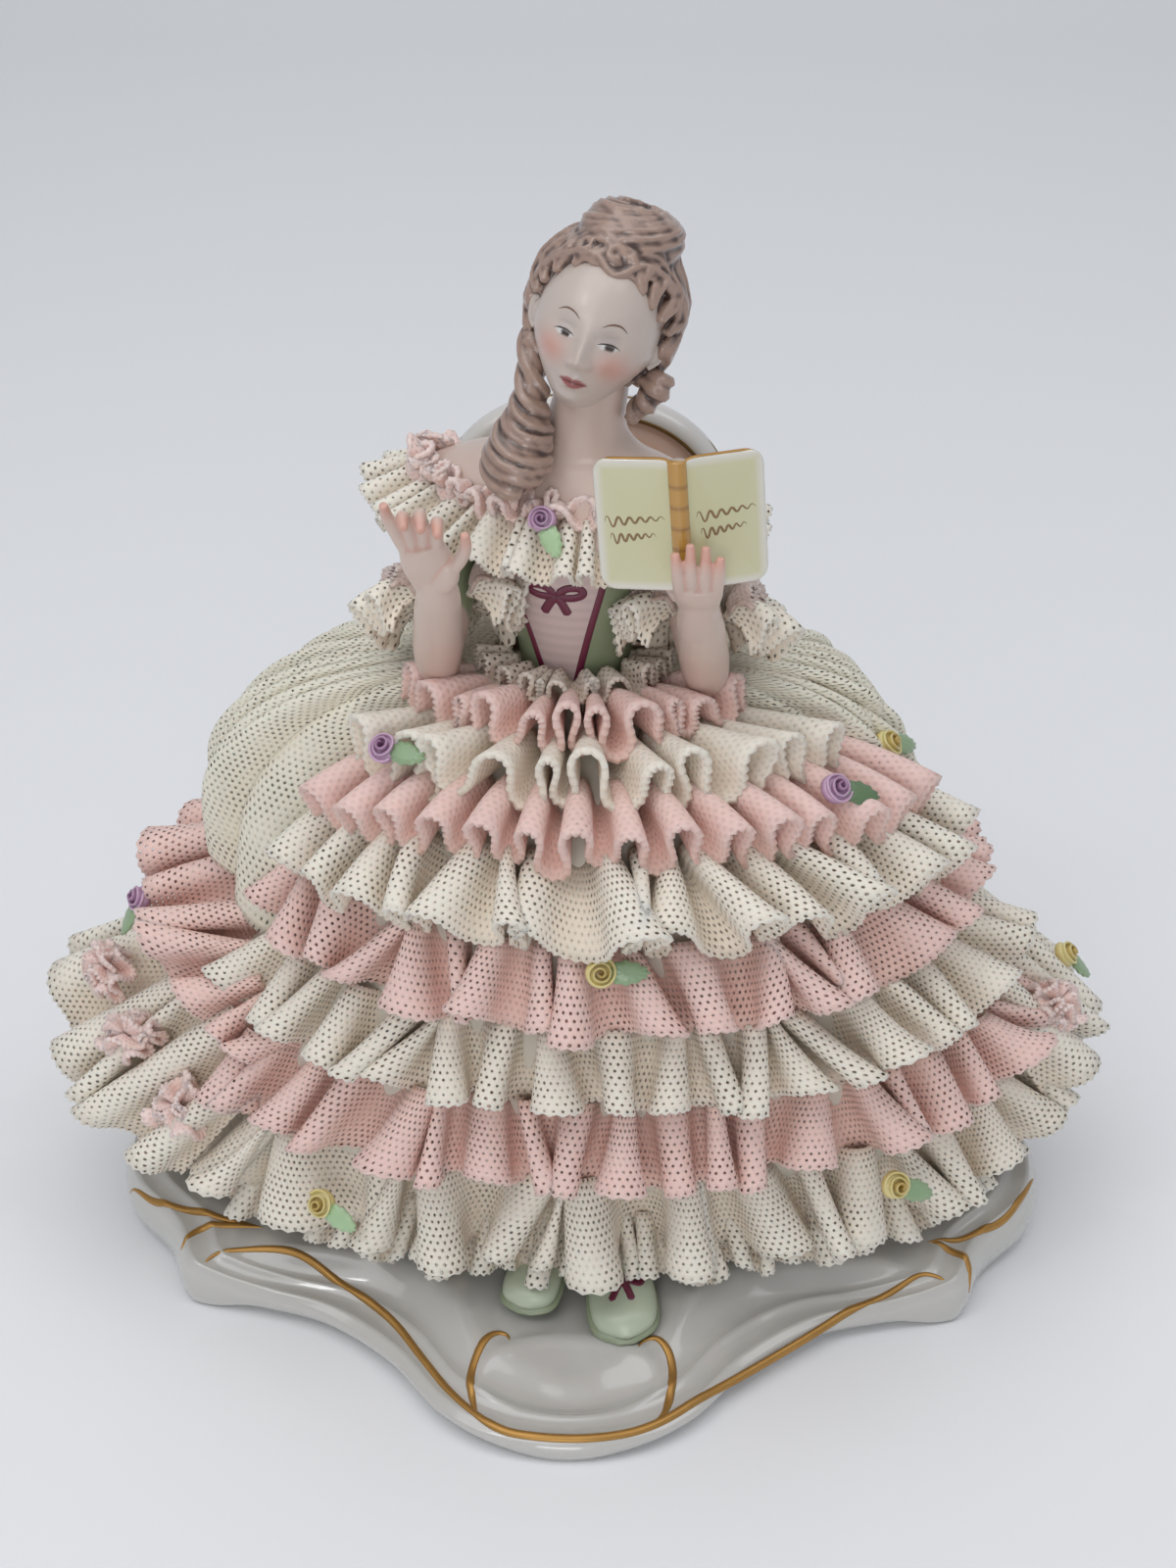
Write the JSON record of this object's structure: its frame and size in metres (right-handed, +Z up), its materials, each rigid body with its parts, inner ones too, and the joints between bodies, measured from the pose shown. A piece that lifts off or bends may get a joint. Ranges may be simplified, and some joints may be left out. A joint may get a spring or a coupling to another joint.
{
  "type": "porcelain figurine",
  "caption": "Porcelain lace figurine: a seated lady in a tiered ruffled ball gown, a hand raised, reads an open book, on a flat scrolled base.",
  "frame": {"origin": "middle of the base's underside, where it stands on the table", "axes": "+Z up, +X to the viewer's right, the lady faces -Y"},
  "size_m": [0.2098, 0.1369, 0.2068],
  "materials": {
    "white_glaze": "clear glossy glaze over white porcelain, gold lines",
    "painted_figure": "glossy glaze over painted porcelain: pale skin, brown hair, green and pink bodice",
    "book_glaze": "glossy pale yellow covers, orange spine",
    "chair_glaze": "glossy white frame, peach panel, gold lines",
    "pink_lace": "matt pierced porcelain lace",
    "cream_lace": "matt pierced porcelain lace",
    "mauve_rose": "glossy painted petals and a green leaf",
    "yellow_rose": "glossy painted petals and a green leaf"
  },
  "bodies": {
    "root": {"base": "white_glaze", "lady": "painted_figure", "book": "book_glaze", "chair_back": "chair_glaze", "flounce_1": "pink_lace", "flounce_2": "cream_lace", "flounce_3": "pink_lace", "flounce_4": "cream_lace", "flounce_5": "pink_lace", "flounce_6": "cream_lace", "flounce_7": "pink_lace", "flounce_8": "cream_lace", "under_frill": "cream_lace", "side_flounce": "pink_lace", "train": "cream_lace", "overskirt_left": "cream_lace", "overskirt_right": "cream_lace", "neck_trim": "pink_lace", "neck_frill": "cream_lace", "sleeve_frill_left": "cream_lace", "sleeve_frill_right": "cream_lace", "waist_frill": "cream_lace", "lace_bow_1": "pink_lace", "lace_bow_2": "pink_lace", "lace_bow_3": "pink_lace", "lace_bow_4": "pink_lace", "rose_1": "mauve_rose", "rose_2": "mauve_rose", "rose_3": "mauve_rose", "rose_4": "yellow_rose", "rose_5": "yellow_rose", "rose_6": "yellow_rose", "rose_7": "mauve_rose", "rose_8": "yellow_rose", "rose_9": "yellow_rose"}
  },
  "joints": []
}
